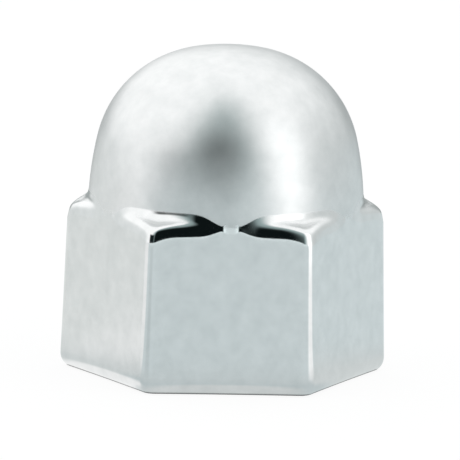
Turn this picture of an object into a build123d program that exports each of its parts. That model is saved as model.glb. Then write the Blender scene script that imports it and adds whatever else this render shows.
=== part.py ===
from build123d import *
import os
from math import cos, radians, sin, tan

# A push-on cover for a hexagon nut: one hollow moulding, open below, standing on its rim.
# The axis is Z, the rim lies at zero height and two of the six corners point along X.
# Lengths are in millimetres and angles in degrees.

# Hexagon socket, sized to the nut that the cover pushes on to
nut_across_flats = 28.6
nut_clearance = 0.15
socket_depth = 17.0
socket_draft = 0.5
lead_in = 0.3

# Crush ribs, one along the middle of each socket flat, that grip the nut
rib_width = 1.2
rib_bite = 0.12
rib_foot = 2.5

# Skirt, the hexagonal lower half of the outside
skirt_wall = 1.55
skirt_draft = 1.6
corner_round = 1.5
rim_round = 0.9

# Shoulder, where a crescent ledge lies at each corner between the skirt and the dome
shoulder_thickness = 1.9
shoulder_round = 1.2

# Dome, one smooth curve from the drafted wall over to the level crown, in bands one above the other
dome_rise = 17.6
dome_wall = 1.4
dome_step = 0.05
dome_bands = 4
wall_pull_share = 0.60
crown_pull_share = 0.78

# How far a cutting shape runs past the face that it opens
overrun = 1.0

# Places worked out from the sizes above
hexagon_sides = 6
half_turn_of_side = 180 / hexagon_sides
socket_flat = nut_across_flats / 2 + nut_clearance
rim_flat = socket_flat + skirt_wall
shoulder_height = socket_depth + shoulder_thickness
height = shoulder_height + dome_rise
wall_lean = tan(radians(skirt_draft))
rib_face = nut_across_flats / 2 - rib_bite
rib_root = socket_flat + skirt_wall / 2


def flat_plane(side: int) -> Plane:
    """Upright plane through the axis and the middle of one flat, with its X pointing out."""
    turn = radians(half_turn_of_side * (2 * side + 1))
    return Plane(origin=(0, 0, 0), x_dir=(cos(turn), sin(turn), 0), z_dir=(sin(turn), -cos(turn), 0))


def dome_half(inset: float, foot: float, curved: bool) -> Sketch:
    """Half section of the dome above the foot height, moved in by the inset, in curved or straight bands."""
    radius = rim_flat - foot * wall_lean - dome_step - inset
    crown = height - inset
    pull = (crown - foot) * wall_pull_share
    with BuildSketch(flat_plane(0)) as section:
        with BuildLine():
            outline = Bezier(
                (0, crown),
                (radius * crown_pull_share, crown),
                (radius - pull * wall_lean, foot + pull),
                (radius, foot),
                mode=Mode.PRIVATE,
            )
            heading = outline % 0
            for band in range(dome_bands):
                high = outline @ (band / dome_bands)
                low = outline @ ((band + 1) / dome_bands)
                if curved:
                    heading = TangentArc(high, low, tangent=heading) % 1
                else:
                    Line(high, low)
            Polyline((0, crown), (0, foot), (radius, foot))
        make_face()
    return section.sketch


with BuildPart() as nut_cover:
    # Skirt: a drafted hexagon with rounded corners, rounded over at the shoulder and at the rim
    with BuildSketch():
        RegularPolygon(rim_flat, hexagon_sides, major_radius=False)
    extrude(amount=shoulder_height, taper=skirt_draft)
    corners = edges().group_by(Axis.Z)[1]
    fillet(corners, corner_round)
    ledge = faces().sort_by(Axis.Z)[-1]
    fillet(ledge.edges(), shoulder_round)
    rim = faces().sort_by(Axis.Z)[0]
    fillet(rim.edges(), rim_round)

    # Dome: it rises out of the ledge and out of the shoulder's round
    revolve(dome_half(0, shoulder_height - shoulder_round, True), axis=Axis.Z)

    # Inside: the hollow dome, then the hexagon socket with a lead-in at its mouth
    revolve(dome_half(dome_wall, socket_depth - overrun, False), axis=Axis.Z, mode=Mode.SUBTRACT)
    with BuildSketch():
        RegularPolygon(socket_flat, hexagon_sides, major_radius=False)
    extrude(amount=socket_depth, taper=socket_draft, mode=Mode.SUBTRACT)
    rim = faces().sort_by(Axis.Z)[0]
    chamfer(rim.inner_wires()[0].edges(), lead_in)

    # Crush ribs: they start above the mouth with a sloping foot and end at the socket's ceiling
    with BuildSketch(*[flat_plane(side) for side in range(hexagon_sides)]):
        with BuildLine():
            Polyline(
                (rib_root, rib_foot),
                (rib_face, rib_foot + rib_root - rib_face),
                (rib_face, socket_depth),
                (rib_root, socket_depth),
                close=True,
            )
        make_face()
    extrude(amount=rib_width / 2, both=True)

nut_cover.part.label = "nut_cover"
os.makedirs("parts", exist_ok=True)
export_step(nut_cover.part, "parts/nut_cover.step")
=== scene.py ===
"""A push-on nut cover in chrome-plated ABS, standing on its rim on a white studio floor."""

import logging
import math
from dataclasses import dataclass, field
from enum import Enum

import bpy
import numpy as np
from mathutils import Matrix, Vector


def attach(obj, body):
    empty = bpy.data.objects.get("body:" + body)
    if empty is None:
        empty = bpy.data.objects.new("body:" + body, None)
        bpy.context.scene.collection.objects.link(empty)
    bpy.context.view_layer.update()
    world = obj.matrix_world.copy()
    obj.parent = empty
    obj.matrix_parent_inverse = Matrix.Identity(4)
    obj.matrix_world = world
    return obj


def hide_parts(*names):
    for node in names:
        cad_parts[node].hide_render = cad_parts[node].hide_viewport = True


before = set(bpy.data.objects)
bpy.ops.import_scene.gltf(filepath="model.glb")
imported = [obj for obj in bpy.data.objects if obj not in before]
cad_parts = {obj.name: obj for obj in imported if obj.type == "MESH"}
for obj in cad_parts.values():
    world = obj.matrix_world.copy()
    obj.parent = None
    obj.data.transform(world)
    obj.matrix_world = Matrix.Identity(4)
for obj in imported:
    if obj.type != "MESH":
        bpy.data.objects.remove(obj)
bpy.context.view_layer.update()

log = logging.getLogger("nut_cover")

MM = 0.001
SIDES = 6
HALF_SIDE = math.pi / SIDES
WELD_M = 1e-7

# The radius, height and polish of one row of the cover's mesh, at each column
Row = tuple[np.ndarray, np.ndarray, np.ndarray]

# Lower limits of a soft patch that runs straight down
DOWN = (-91.0, -90.0)


class Polish(Enum):
    """How crisply the plating mirrors on each kind of surface, from a soft gloss at 0 to a full mirror at 1."""

    DOME = 0.0
    FLAT = 0.52
    INSIDE = 0.4
    EDGE = 1.0


def linear(hex_colour: str) -> tuple[float, float, float, float]:
    """Turns an sRGB hex colour into linear light.

    Args:
        hex_colour: six hex digits after a hash sign.

    Returns:
        Red, green, blue and an alpha of one.
    """
    parts = [int(hex_colour[i : i + 2], 16) / 255 for i in (1, 3, 5)]
    light = [c / 12.92 if c <= 0.04045 else ((c + 0.055) / 1.055) ** 2.4 for c in parts]
    return (light[0], light[1], light[2], 1.0)


def add_node(
    tree: bpy.types.NodeTree,
    kind: str,
    settings: dict[str, object] | None = None,
    inputs: dict[str | int, object] | None = None,
) -> bpy.types.Node:
    """Adds one node with its settings and links.

    Args:
        tree: the node tree that gets the node.
        kind: the node's type name.
        settings: the node's own properties, by name.
        inputs: what each input gets, by socket name or number: a value, or the output socket that feeds it.

    Returns:
        The new node.
    """
    node = tree.nodes.new(kind)
    for name, value in (settings or {}).items():
        setattr(node, name, value)
    for name, value in (inputs or {}).items():
        if isinstance(value, bpy.types.NodeSocket):
            tree.links.new(value, node.inputs[name])
        else:
            node.inputs[name].default_value = value
    return node


@dataclass(frozen=True)
class ChromePlatedAbs:
    """Bright chrome plating over moulded ABS.

    The plating follows the moulding, so edges mirror crisply, while the broad faces show the faint flow and shrink of
    the plastic below as a soft, slightly mottled gloss.
    """

    tint: str = "#E0E1E1"
    tint_worn: str = "#C5C8C8"
    soft_roughness: float = 0.36
    crisp_roughness: float = 0.04
    mottle_mm: float = 2.0
    mottle_detail: float = 4.0
    mottle_roughness: float = 0.6
    ripple_mm: float = 4.5
    ripple_detail: float = 2.0
    ripple_strength: float = 0.25
    ripple_depth_mm: float = 0.012

    def material(self) -> bpy.types.Material:
        """Builds the plating's material.

        Returns:
            The new material.
        """
        made = bpy.data.materials.new("chrome_plated_abs")
        made.use_nodes = True
        tree = made.node_tree
        tree.nodes.clear()
        place = add_node(tree, "ShaderNodeTexCoord").outputs["Object"]
        polish = add_node(tree, "ShaderNodeAttribute", {"attribute_name": "polish"})
        # Cloudy patches of slightly duller plating
        mottle = add_node(
            tree,
            "ShaderNodeTexNoise",
            {},
            {
                "Vector": place,
                "Scale": 1 / (self.mottle_mm * MM),
                "Detail": self.mottle_detail,
                "Roughness": self.mottle_roughness,
            },
        )
        tint = add_node(
            tree,
            "ShaderNodeMix",
            {"data_type": "RGBA"},
            {0: mottle.outputs["Fac"], 6: linear(self.tint_worn), 7: linear(self.tint)},
        )
        # Soft gloss on the dome and flats, a mirror on the edges
        gloss = add_node(
            tree,
            "ShaderNodeMapRange",
            {},
            {"Value": polish.outputs["Fac"], "To Min": self.soft_roughness, "To Max": self.crisp_roughness},
        )
        # The moulding's shrink, which makes reflections waver a little
        ripple = add_node(
            tree,
            "ShaderNodeTexNoise",
            {},
            {"Vector": place, "Scale": 1 / (self.ripple_mm * MM), "Detail": self.ripple_detail},
        )
        bump = add_node(
            tree,
            "ShaderNodeBump",
            {},
            {
                "Height": ripple.outputs["Fac"],
                "Strength": self.ripple_strength,
                "Distance": self.ripple_depth_mm * MM,
            },
        )
        shader = add_node(
            tree,
            "ShaderNodeBsdfPrincipled",
            {},
            {
                "Base Color": tint.outputs[2],
                "Metallic": 1.0,
                "Roughness": gloss.outputs["Result"],
                "Normal": bump.outputs["Normal"],
            },
        )
        add_node(tree, "ShaderNodeOutputMaterial", {}, {"Surface": shader.outputs["BSDF"]})
        return made


@dataclass(frozen=True)
class ShoulderStep:
    """The step from the dome out to the skirt, whose section changes all the way round.

    It fades out at the middle of each flat and grows towards the corners into a hollow under the dome, a ledge and a
    rounded edge over the skirt. Lengths are in millimetres. The growth follows the room past the flat's middle, which
    is how much further out the skirt lies than it does there. Shares run from 0 at the step's top to 1 at its foot.
    """

    # Height of the step's middle, from the shoulder's height
    middle: float = -0.27
    # The hollow's height above the middle, and how it swells with the room
    hollow_height: float = 0.1
    hollow_swell: float = 1.42
    hollow_reach: float = 0.2
    hollow_power: float = 1.2
    # The edge's depth below the middle, how it swells, and its further drop at the corners
    edge_depth: float = 0.08
    edge_swell: float = 0.88
    edge_reach: float = 0.13
    edge_power: float = 1.1
    edge_slope: float = 0.1
    corner_from: float = 1.0
    corner_drop: float = 0.45
    # The long, soft blend at the middle of a flat
    blend_height: float = 0.5
    blend_reach: float = 0.021
    # The ledge's place, how tightly it bends into both sides, and how much they lean
    centre: float = 0.42
    bend: float = 8.4
    lean: float = 0.16
    # Where the plating is crisp, and the soft shelf of the ledge at the corners
    crisp_reach: float = 0.03
    crisp_ramp: float = 12.0
    shelf_spread: float = 0.16
    shelf_from: float = 0.5
    shelf_full: float = 1.0

    def heights(self, past: np.ndarray) -> tuple[np.ndarray, np.ndarray]:
        """How far the step reaches above and below its middle.

        Args:
            past: room past the flat's middle at each column.

        Returns:
            The reach above and the reach below, at each column.
        """
        hollow = 1 - np.exp(-((past / self.hollow_reach) ** self.hollow_power))
        edge = 1 - np.exp(-((past / self.edge_reach) ** self.edge_power))
        corner = np.maximum(past - self.corner_from, 0.0)
        blend = self.blend_height * np.exp(-((past / self.blend_reach) ** 2))
        above = self.hollow_height + self.hollow_swell * hollow + blend
        below = self.edge_depth + self.edge_swell * edge + self.edge_slope * past + self.corner_drop * corner**2
        return above, below + blend

    def way_out(self, down: float, sides: np.ndarray) -> np.ndarray:
        """Share of the way from the dome out to the skirt.

        Args:
            down: share of the way down the step.
            sides: share of the way out that the leaning sides take, at each column.

        Returns:
            The share of the way out at each column.
        """
        above, below = math.tanh(self.bend * self.centre), math.tanh(self.bend * (1 - self.centre))
        ledge = (math.tanh(self.bend * (down - self.centre)) + above) / (above + below)
        return sides * down + (1 - sides) * ledge

    def polish(self, down: float, past: np.ndarray) -> np.ndarray:
        """Polish of the step: crisp, but soft where it fades out and on the ledge at the corners.

        Args:
            down: share of the way down the step.
            past: room past the flat's middle at each column.

        Returns:
            The polish at each column.
        """
        base = Polish.DOME.value if down < self.centre else Polish.FLAT.value
        crisp = np.clip(past / self.crisp_reach, 0.0, 1.0) * min(1.0, self.crisp_ramp * min(down, 1 - down))
        shelf = np.clip((past - self.shelf_from) / (self.shelf_full - self.shelf_from), 0.0, 1.0)
        shelf = shelf * math.exp(-(((down - self.centre) / self.shelf_spread) ** 2))
        return base + (Polish.EDGE.value - base) * crisp * (1 - shelf)


@dataclass
class NutCover:
    """The cover as one closed moulding: dome, shoulder, hexagon skirt, rim, ribbed socket and hollow dome.

    Sizes are in millimetres and angles in degrees. The mesh is a sheet of rows and columns: each column is the section
    at one bearing, from the top of the dome down outside, under the rim and up inside. It is rolled up from a grid,
    because the section changes all the way round and no bevel or spin gives that.
    """

    height: float = 36.5
    shoulder_height: float = 18.9
    # Dome, as three arcs, with its wall and the neck that it leaves above the step
    dome_radius: float = 15.41
    barrel_radius: float = 39.0
    dome_round: float = 12.8
    crown_radius: float = 23.0
    dome_wall: float = 1.4
    neck: float = 0.2
    # Skirt and rim, with the angles from a flat's middle where the crisp corners start and fade in
    wall_lean: float = 1.6
    rim_flat: float = 15.997
    corner_round: float = 1.5
    corner_from: float = 27.3
    corner_fade: float = 0.5
    rim_round: float = 1.1
    rim_rise: float = 1.5
    # Socket and crush ribs
    socket_flat: float = 14.45
    socket_depth: float = 17.0
    socket_lean: float = 0.5
    socket_round: float = 0.3
    mouth_round: float = 0.4
    lead_in: float = 0.3
    rib_half_width: float = 0.6
    rib_flank: float = 0.06
    rib_face: float = 14.18
    rib_start: float = 3.3
    rib_full: float = 3.55
    # How finely the mesh follows each part: counts of rows, shares of the skirt and heights in the socket
    curve_points: int = 400
    dome_row_count: int = 47
    neck_row_count: int = 5
    step_row_count: int = 41
    skirt_shares: tuple[float, ...] = (0.03, 0.1, 0.35, 0.65, 0.9, 0.97)
    rim_row_count: int = 10
    socket_heights: tuple[float, ...] = (1.5, 6.0, 10.0, 14.0)
    hollow_row_count: int = 30
    smooth_angle: float = 40.0
    step: ShoulderStep = field(default_factory=ShoulderStep)
    finish: ChromePlatedAbs = field(default_factory=ChromePlatedAbs)

    def bearings(self) -> np.ndarray:
        """Column bearings round the whole cover, in radians from the middle of a flat.

        Returns:
            One turn of bearings, closer together at the corners, at the ribs' sides and at the tips of the ledges,
            with the first repeated last.
        """
        rib = math.degrees(math.atan(self.rib_half_width / self.rib_face))
        middle = [0.0, 1.2, 1.9, rib - self.rib_flank, rib + self.rib_flank]
        tip = np.linspace(2.7, 3.9, 5)
        flat = np.linspace(4.2, 26.6, 22)
        turn_in = [27.1, 27.4, 27.57]
        corner = np.linspace(27.75, 30.0, 10)
        half = np.concatenate([middle, tip, flat, turn_in, corner])
        side = np.concatenate([-half[:0:-1], half[:-1]])
        turn = np.concatenate([side + 360 / SIDES * k for k in range(SIDES)])
        return np.radians(np.append(turn, turn[0] + 360))

    def off_middle(self, bearing: np.ndarray) -> np.ndarray:
        """Angle from the middle of the nearest flat, in radians."""
        return np.abs((bearing + HALF_SIDE) % (2 * HALF_SIDE) - HALF_SIDE)

    def corner_share(self, bearing: np.ndarray) -> np.ndarray:
        """How far each bearing lies on a rounded corner, from 0 on the flat to 1 on the corner."""
        return np.clip((np.degrees(self.off_middle(bearing)) - self.corner_from) / self.corner_fade, 0.0, 1.0)

    def hexagon(self, flat: np.ndarray | float, rounding: float, bearing: np.ndarray) -> np.ndarray:
        """Radius of a hexagon with rounded corners.

        Args:
            flat: distance from the axis to the flats.
            rounding: radius of the corners.
            bearing: bearings from the middle of a flat.

        Returns:
            The radius at each bearing.
        """
        off = self.off_middle(bearing)
        centre = (flat - rounding) / math.cos(HALF_SIDE)
        tangent = np.arctan(centre * math.sin(HALF_SIDE) / flat)
        turn = HALF_SIDE - off
        inside = np.maximum(rounding**2 - (centre * np.sin(turn)) ** 2, 0.0)
        return np.where(off < tangent, flat / np.cos(off), centre * np.cos(turn) + np.sqrt(inside))

    def skirt_at(self, z: np.ndarray | float, bearing: np.ndarray) -> np.ndarray:
        """Radius of the skirt at a height, at each bearing."""
        flat = self.rim_flat - z * math.tan(math.radians(self.wall_lean))
        return self.hexagon(flat, self.corner_round, bearing)

    def dome_section(self, inset: float, count: int) -> tuple[np.ndarray, np.ndarray]:
        """Half section of the dome, as three arcs that run into each other.

        Args:
            inset: how far the curve lies inside the dome's outside.
            count: number of points.

        Returns:
            Radii and heights from the crown, where the radius is small, down to the shoulder's height.
        """
        lean = math.radians(self.wall_lean)
        wall = np.array([self.dome_radius, self.shoulder_height])
        wall = wall - self.barrel_radius * np.array([math.cos(lean), math.sin(lean)])
        crown = np.array([0.0, self.height - self.crown_radius])
        reach_wall = self.barrel_radius - self.dome_round
        reach_crown = self.crown_radius - self.dome_round
        line = crown - wall
        span = float(np.hypot(*line))
        line = line / span
        along = (reach_wall**2 - reach_crown**2 + span**2) / (2 * span)
        across = math.sqrt(reach_wall**2 - along**2)
        middle = wall + line * along + np.array([-line[1], line[0]]) * across
        low = math.atan2(*(middle - wall)[::-1])
        high = math.atan2(*(middle - crown)[::-1])
        arcs = (
            (crown, self.crown_radius, math.pi / 2, high),
            (middle, self.dome_round, high, low),
            (wall, self.barrel_radius, low, lean),
        )
        points = []
        for centre, radius, start, end in arcs:
            turn = np.linspace(start, end, self.curve_points)[:, None]
            points.append(centre + (radius - inset) * np.hstack([np.cos(turn), np.sin(turn)]))
        curve = np.concatenate(points)
        length = np.concatenate([[0.0], np.cumsum(np.hypot(*np.diff(curve, axis=0).T))])
        stops = np.linspace(0.0, length[-1], count)
        return np.interp(stops, length, curve[:, 0]), np.interp(stops, length, curve[:, 1])

    def dome_at(self, z: np.ndarray) -> np.ndarray:
        """Radius of the dome at each height, carried on below the shoulder with the wall's lean.

        Args:
            z: heights.

        Returns:
            The radius at each height.
        """
        radius, height = self.dome_section(0.0, self.curve_points)
        below = np.maximum(self.shoulder_height - z, 0.0)
        return np.interp(z, height[::-1], radius[::-1]) + below * math.tan(math.radians(self.wall_lean))

    def upper_rows(self, bearing: np.ndarray) -> list[Row]:
        """Rows of the dome and of the step below it.

        Args:
            bearing: bearings of the columns.

        Returns:
            Radius, height and polish of each row, from the crown down.
        """
        rows = []
        ones = np.ones_like(bearing)
        soft = Polish.DOME.value * ones
        middle = self.shoulder_height + self.step.middle
        gap = self.skirt_at(middle, bearing) - self.dome_radius
        past = gap - gap.min()
        hollow, edge = self.step.heights(past)
        level = middle + float(hollow.max()) + self.neck
        # The dome, down to a level row just above the step
        radius, height = self.dome_section(0.0, self.curve_points)
        number = np.arange(self.curve_points)
        for share in np.linspace(0.0, 1.0, self.dome_row_count, endpoint=False):
            stop = share * np.interp(-level, -height, number)
            rows.append((np.interp(stop, number, radius) * ones, np.interp(stop, number, height) * ones, soft))
        # The neck, which brings the level row down to the top of the step
        for share in np.linspace(0.0, 1.0, self.neck_row_count, endpoint=False):
            z = level + (middle + hollow - level) * share
            rows.append((self.dome_at(z), z, soft))
        sides = np.minimum(self.step.lean * (hollow + edge) / gap, 1.0)
        for down in np.linspace(0.0, 1.0, self.step_row_count):
            z = middle + hollow - (hollow + edge) * down
            inner, outer = self.dome_at(z), self.skirt_at(z, bearing)
            rows.append((inner + (outer - inner) * self.step.way_out(down, sides), z, self.step.polish(down, past)))
        return rows

    def skirt_rows(self, foot: np.ndarray, bearing: np.ndarray) -> list[Row]:
        """Rows of the skirt and of the round at its rim.

        Args:
            foot: height of the step's foot at each column.
            bearing: bearings of the columns.

        Returns:
            Radius, height and polish of each row, from the step down.
        """
        rows = []
        ones = np.ones_like(bearing)
        polish = Polish.FLAT.value + (Polish.EDGE.value - Polish.FLAT.value) * self.corner_share(bearing)
        for share in self.skirt_shares:
            z = foot + (self.rim_rise - foot) * share
            rows.append((self.skirt_at(z, bearing), z, polish))
        for turn in np.linspace(0.0, math.pi / 2, self.rim_row_count):
            radius = self.skirt_at(self.rim_rise, bearing) - self.rim_round * (1 - math.cos(turn))
            rows.append((radius, self.rim_rise * (1 - math.sin(turn)) * ones, Polish.EDGE.value * ones))
        return rows

    def inner_rows(self, bearing: np.ndarray) -> list[Row]:
        """Rows of the inside, from the rim up the ribbed socket and over the hollow dome.

        Args:
            bearing: bearings of the columns.

        Returns:
            Radius, height and polish of each row, from the rim up.
        """
        ones = np.ones_like(bearing)
        off = self.off_middle(bearing)
        on_rib = off < math.atan(self.rib_half_width / self.rib_face)
        polish = Polish.INSIDE.value * ones
        rows = [(self.hexagon(self.socket_flat + self.lead_in, self.mouth_round, bearing), 0.0 * ones, polish)]
        for z in sorted((self.lead_in, self.rib_start, self.rib_full, self.socket_depth, *self.socket_heights)):
            flat = self.socket_flat - z * math.tan(math.radians(self.socket_lean))
            wall = self.hexagon(flat, self.socket_round, bearing)
            if z >= self.rib_full:
                wall = np.where(on_rib, self.rib_face / np.cos(off), wall)
            rows.append((wall, z * ones, polish))
        radius, height = self.dome_section(self.dome_wall, self.hollow_row_count)
        rows.append((radius[-1] * ones, self.socket_depth * ones, polish))
        for r, z in zip(radius[::-1], height[::-1]):
            rows.append((r * ones, z * ones, polish))
        return rows

    def build(self) -> bpy.types.Object:
        """Models the moulding from a flat grid that is rolled up into the cover and closed.

        Returns:
            The finished mesh object, in metres.
        """
        bearing = self.bearings()
        rows = self.upper_rows(bearing)
        rows += self.skirt_rows(rows[-1][1], bearing)
        rows += self.inner_rows(bearing)
        tall, wide = len(rows), len(bearing)
        bpy.ops.object.select_all(action="DESELECT")
        bpy.ops.mesh.primitive_grid_add(x_subdivisions=wide - 1, y_subdivisions=tall - 1, size=2.0)
        piece = bpy.context.object
        piece.name = "nut_cover_moulding"
        mesh = piece.data
        mesh.name = "nut_cover_moulding"
        flat = np.empty(len(mesh.vertices) * 3)
        mesh.vertices.foreach_get("co", flat)
        flat = flat.reshape(-1, 3)
        column = np.rint((flat[:, 0] + 1) / 2 * (wide - 1)).astype(int)
        row = np.rint((flat[:, 1] + 1) / 2 * (tall - 1)).astype(int)
        radius, height, polish = (np.array(sheet)[row, column] for sheet in zip(*rows))
        turn = bearing[column] - math.pi / 2
        place = np.stack([radius * np.cos(turn), radius * np.sin(turn), height], axis=1) * MM
        mesh.vertices.foreach_set("co", place.ravel())
        mesh.attributes.new("polish", "FLOAT", "POINT").data.foreach_set("value", polish.astype(np.float32))
        mesh.update()
        bpy.ops.object.mode_set(mode="EDIT")
        bpy.ops.mesh.select_all(action="SELECT")
        bpy.ops.mesh.remove_doubles(threshold=WELD_M)
        bpy.ops.mesh.normals_make_consistent(inside=False)
        bpy.ops.object.mode_set(mode="OBJECT")
        bpy.ops.object.shade_smooth_by_angle(angle=math.radians(self.smooth_angle))
        return piece

    def dress(self, piece: bpy.types.Object) -> None:
        """Gives the moulding its plating and its place in the frame.

        Args:
            piece: the moulding's mesh object.
        """
        piece.data.materials.clear()
        piece.data.materials.append(self.finish.material())
        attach(piece, "root")
        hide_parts("nut_cover")


@dataclass(frozen=True)
class SoftPatch:
    """A soft-edged part of the surroundings that the plating mirrors: a lit panel, a dark flag or a pool on the floor.

    Angles are in degrees. The bearing is measured from the camera's side, to the right, and the rise from the floor's
    level up. The narrowing is what both half-widths lose for each degree of rise.
    """

    bearing: float
    full_half_width: float
    gone_half_width: float
    rise_gone_below: float
    rise_full_from: float
    rise_full_to: float
    rise_gone_above: float
    colour: str
    level: float
    narrowing: float = 0.0


@dataclass
class Studio:
    """White floor, soft surrounding light with a dark gap behind the camera, and a long lens at the photo's angle."""

    azimuth: float = -2.4
    elevation: float = 10.4
    roll: float = 1.35
    lens_mm: float = 500.0
    sensor_mm: float = 36.0
    clip_m: tuple[float, float] = (0.01, 10.0)
    picture_px: int = 460
    px_per_mm: float = 8.928
    aim_height_mm: float = 13.44
    aim_px: tuple[float, float] = (224.8, 249.65)
    white: str = "#FFFFFF"
    paper: str = "#F4F5F5"
    floor_mm: float = 2400.0
    floor_drop_mm: float = 0.05
    floor_share_lit: float = 0.08
    middle_mm: float = 9.0
    contact_shade_mm: float = 0.25
    contact_shade_samples: int = 8
    overhead_level: float = 1.43
    patches: tuple[SoftPatch, ...] = (
        # Dimmer room low down on the right, on the left and behind the cover
        SoftPatch(124, 38, 64, *DOWN, 0, 60, "#FAFFFF", 0.85),
        SoftPatch(-142, 34, 76, *DOWN, -6, 14, "#FAFFFF", 0.90),
        SoftPatch(166, 12, 36, *DOWN, 0, 30, "#F0F8F8", 0.45),
        SoftPatch(-166, 14, 38, *DOWN, 0, 18, "#F0F8F8", 0.50),
        # Paper in front of the cover and to both sides, at painted levels of light, with two painted pools of light
        # and painted shades on it, the cover's shade among them
        SoftPatch(-14, 48, 64, *DOWN, 1, 7, "#ECF6F8", 0.98),
        SoftPatch(112, 34, 50, *DOWN, -3, 2, "#ECF6F8", 1.01),
        SoftPatch(-112, 34, 46, *DOWN, -3, 2, "#F8FBFA", 1.06),
        SoftPatch(-80, 10, 22, *DOWN, -3, 2, "#FFFFFF", 1.18),
        SoftPatch(-36, 5, 16, *DOWN, -5, 0, "#ECF6F8", 0.86),
        SoftPatch(56, 3, 14, *DOWN, -5, -2, "#FFFFFF", 1.28),
        SoftPatch(0, 181, 182, *DOWN, -22, -12, "#F2F7F7", 0.97),
        SoftPatch(-5, 46, 64, *DOWN, -24, -10, "#ECF6F8", 0.86),
        # A painted pool of light on the paper close round the foot on the left, and a painted shade in front, which
        # the rim's round mirrors
        SoftPatch(-66, 26, 38, *DOWN, -27, -24, "#FFFFFF", 1.2),
        SoftPatch(0, 24, 38, *DOWN, -27, -24, "#F4F8F8", 0.94),
        # Far edge of the paper, and the upright strip light on the right
        SoftPatch(-8, 30, 46, -0.5, 2, 4.5, 7, "#F0F9FA", 2.0),
        SoftPatch(56, 6, 17, -5, -2, 34, 50, "#FFFFFF", 2.0),
        # Dim room behind the camera, and the dark gap in it, which narrows and fades upwards
        SoftPatch(-5, 27, 50, 0, 8, 62, 118, "#C8DEDE", 0.68, 0.2),
        SoftPatch(-46, 11, 20, 5, 8, 13, 19, "#45585A", 0.2),
        SoftPatch(-7, 18, 32, 4.5, 7.5, 26, 60, "#45585A", 0.1, 0.3),
    )

    def axes(self) -> tuple[Vector, Vector, Vector]:
        """Directions along the floor to the camera's side and to the right of it, and straight up."""
        a = math.radians(self.azimuth)
        return Vector((math.sin(a), -math.cos(a), 0)), Vector((math.cos(a), math.sin(a), 0)), Vector((0, 0, 1))

    def camera(self) -> bpy.types.Object:
        """Places the camera so that the cover falls where the photo shows it.

        Returns:
            The camera object.
        """
        front, right, up = self.axes()
        e, r = math.radians(self.elevation), math.radians(self.roll)
        back = front * math.cos(e) + up * math.sin(e)
        above = up * math.cos(e) - front * math.sin(e)
        across = right * math.cos(r) + above * math.sin(r)
        above = above * math.cos(r) - right * math.sin(r)
        middle = self.picture_px / 2
        aim = Vector((0, 0, self.aim_height_mm))
        aim += across * ((middle - self.aim_px[0]) / self.px_per_mm)
        aim += above * ((self.aim_px[1] - middle) / self.px_per_mm)
        distance = self.picture_px / self.px_per_mm * self.lens_mm / self.sensor_mm
        data = bpy.data.cameras.new("camera")
        data.lens = self.lens_mm
        data.sensor_width = self.sensor_mm
        data.clip_start, data.clip_end = self.clip_m
        made = bpy.data.objects.new("camera", data)
        bpy.context.scene.collection.objects.link(made)
        turn = Matrix((across, above, back)).transposed()
        made.matrix_world = Matrix.Translation((aim + back * distance) * MM) @ turn.to_4x4()
        bpy.context.scene.camera = made
        return made

    def surroundings(self, tree: bpy.types.NodeTree, way: bpy.types.NodeSocket) -> bpy.types.NodeSocket:
        """Adds the nodes that give the light from each direction: an overhead level with soft patches laid over it.

        Args:
            tree: the node tree of the world or of the floor.
            way: the socket that gives the direction from the cover.

        Returns:
            The socket that gives the light's colour.
        """
        front, right, _ = self.axes()
        unit = add_node(tree, "ShaderNodeVectorMath", {"operation": "NORMALIZE"}, {0: way})
        height = add_node(tree, "ShaderNodeSeparateXYZ", {}, {0: unit.outputs["Vector"]})
        rise = add_node(tree, "ShaderNodeMath", {"operation": "ARCSINE"}, {0: height.outputs["Z"]})
        upper = add_node(tree, "ShaderNodeMath", {"operation": "MAXIMUM"}, {0: rise.outputs["Value"], 1: 0.0})
        plan = add_node(tree, "ShaderNodeVectorMath", {"operation": "MULTIPLY"}, {0: way, 1: (1.0, 1.0, 0.0)})
        plan = add_node(tree, "ShaderNodeVectorMath", {"operation": "NORMALIZE"}, {0: plan.outputs["Vector"]})
        light = (self.overhead_level, self.overhead_level, self.overhead_level, 1.0)
        for patch in self.patches:
            turn = math.radians(patch.bearing)
            aim = front * math.cos(turn) + right * math.sin(turn)
            facing = add_node(
                tree, "ShaderNodeVectorMath", {"operation": "DOT_PRODUCT"}, {0: plan.outputs["Vector"], 1: aim}
            )
            off = add_node(tree, "ShaderNodeMath", {"operation": "ARCCOSINE"}, {0: facing.outputs["Value"]})
            width = add_node(
                tree,
                "ShaderNodeMath",
                {"operation": "MULTIPLY_ADD"},
                {0: upper.outputs["Value"], 1: patch.narrowing, 2: off.outputs["Value"]},
            )
            spans = (
                (width, patch.gone_half_width, patch.full_half_width),
                (rise, patch.rise_gone_below, patch.rise_full_from),
                (rise, patch.rise_gone_above, patch.rise_full_to),
            )
            share = 1.0
            for angle, gone, full in spans:
                inside = add_node(
                    tree,
                    "ShaderNodeMapRange",
                    {"interpolation_type": "SMOOTHSTEP"},
                    {"Value": angle.outputs["Value"], "From Min": math.radians(gone), "From Max": math.radians(full)},
                )
                both = add_node(
                    tree, "ShaderNodeMath", {"operation": "MULTIPLY"}, {0: inside.outputs["Result"], 1: share}
                )
                share = both.outputs["Value"]
            colour = [c * patch.level for c in linear(patch.colour)[:3]]
            laid = add_node(tree, "ShaderNodeMix", {"data_type": "RGBA"}, {0: share, 6: light, 7: (*colour, 1.0)})
            light = laid.outputs[2]
        return light

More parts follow.
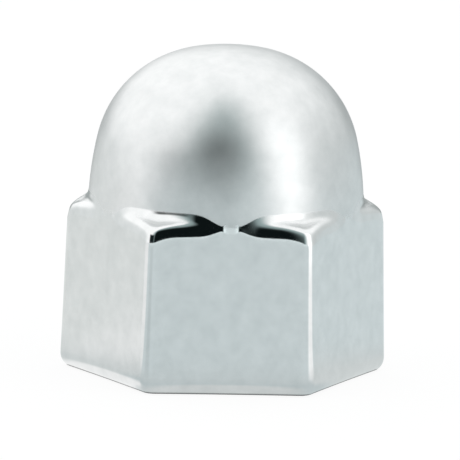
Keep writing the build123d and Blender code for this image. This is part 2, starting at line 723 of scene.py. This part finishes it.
    def floor(self) -> bpy.types.Object:
        """Lays the white floor, which keeps a faint shadow of the cover.

        The camera sees paper that is nearly white, and the plating mirrors a glow painted on it: the studio's pools
        and shades as painted light and painted shade, with a painted dark line of contact shadow where the rim meets
        it.

        Returns:
            The floor object.
        """
        bpy.ops.object.select_all(action="DESELECT")
        bpy.ops.mesh.primitive_plane_add(size=self.floor_mm * MM, location=(0, 0, -self.floor_drop_mm * MM))
        made = bpy.context.object
        made.name = "floor"
        material = bpy.data.materials.new("white_paper_sweep")
        material.use_nodes = True
        tree = material.node_tree
        tree.nodes.clear()
        path = add_node(tree, "ShaderNodeLightPath")
        place = add_node(tree, "ShaderNodeTexCoord").outputs["Object"]
        way = add_node(
            tree, "ShaderNodeVectorMath", {"operation": "SUBTRACT"}, {0: place, 1: (0.0, 0.0, self.middle_mm * MM)}
        )
        share = add_node(
            tree,
            "ShaderNodeMath",
            {"operation": "MULTIPLY"},
            {0: path.outputs["Is Camera Ray"], 1: 1 - self.floor_share_lit},
        )
        paper = add_node(tree, "ShaderNodeBsdfDiffuse", {}, {"Color": linear(self.paper)})
        white = add_node(tree, "ShaderNodeEmission", {}, {"Color": linear(self.white), "Strength": 1.0})
        # Painted contact shadow: ambient occlusion dims the floor's painted glow where the rim stands close above it
        painted_contact_shade = add_node(
            tree,
            "ShaderNodeAmbientOcclusion",
            {"samples": self.contact_shade_samples},
            {"Distance": self.contact_shade_mm * MM},
        )
        # Painted pools of light and painted shade: the floor glows with the studio's patches for mirror rays only
        painted_floor_glow = add_node(
            tree,
            "ShaderNodeEmission",
            {},
            {"Color": self.surroundings(tree, way.outputs["Vector"]), "Strength": painted_contact_shade.outputs["AO"]},
        )
        seen = add_node(
            tree,
            "ShaderNodeMixShader",
            {},
            {0: share.outputs["Value"], 1: paper.outputs["BSDF"], 2: white.outputs["Emission"]},
        )
        mix = add_node(
            tree,
            "ShaderNodeMixShader",
            {},
            {0: path.outputs["Is Glossy Ray"], 1: seen.outputs["Shader"], 2: painted_floor_glow.outputs["Emission"]},
        )
        add_node(tree, "ShaderNodeOutputMaterial", {}, {"Surface": mix.outputs["Shader"]})
        made.data.materials.append(material)
        return made

    def light(self) -> None:
        """Surrounds the cover with the studio's soft light, which the camera itself sees as plain white."""
        world = bpy.data.worlds.new("studio")
        bpy.context.scene.world = world
        world.use_nodes = True
        tree = world.node_tree
        tree.nodes.clear()
        way = add_node(tree, "ShaderNodeTexCoord").outputs["Generated"]
        path = add_node(tree, "ShaderNodeLightPath")
        seen = add_node(
            tree,
            "ShaderNodeMix",
            {"data_type": "RGBA"},
            {0: path.outputs["Is Camera Ray"], 6: self.surroundings(tree, way), 7: linear(self.white)},
        )
        light = add_node(tree, "ShaderNodeBackground", {}, {"Color": seen.outputs[2], "Strength": 1.0})
        add_node(tree, "ShaderNodeOutputWorld", {}, {"Surface": light.outputs["Background"]})


def main() -> None:
    """Builds the cover and the studio round it, and logs the cover's face count."""
    logging.basicConfig(level=logging.INFO, format="%(message)s")
    cover = NutCover()
    piece = cover.build()
    cover.dress(piece)
    log.info("%s: %d faces", piece.name, len(piece.data.polygons))
    studio = Studio()
    studio.floor()
    studio.light()
    studio.camera()
    bpy.context.scene.view_settings.view_transform = "Standard"


if __name__ == "__main__":
    main()
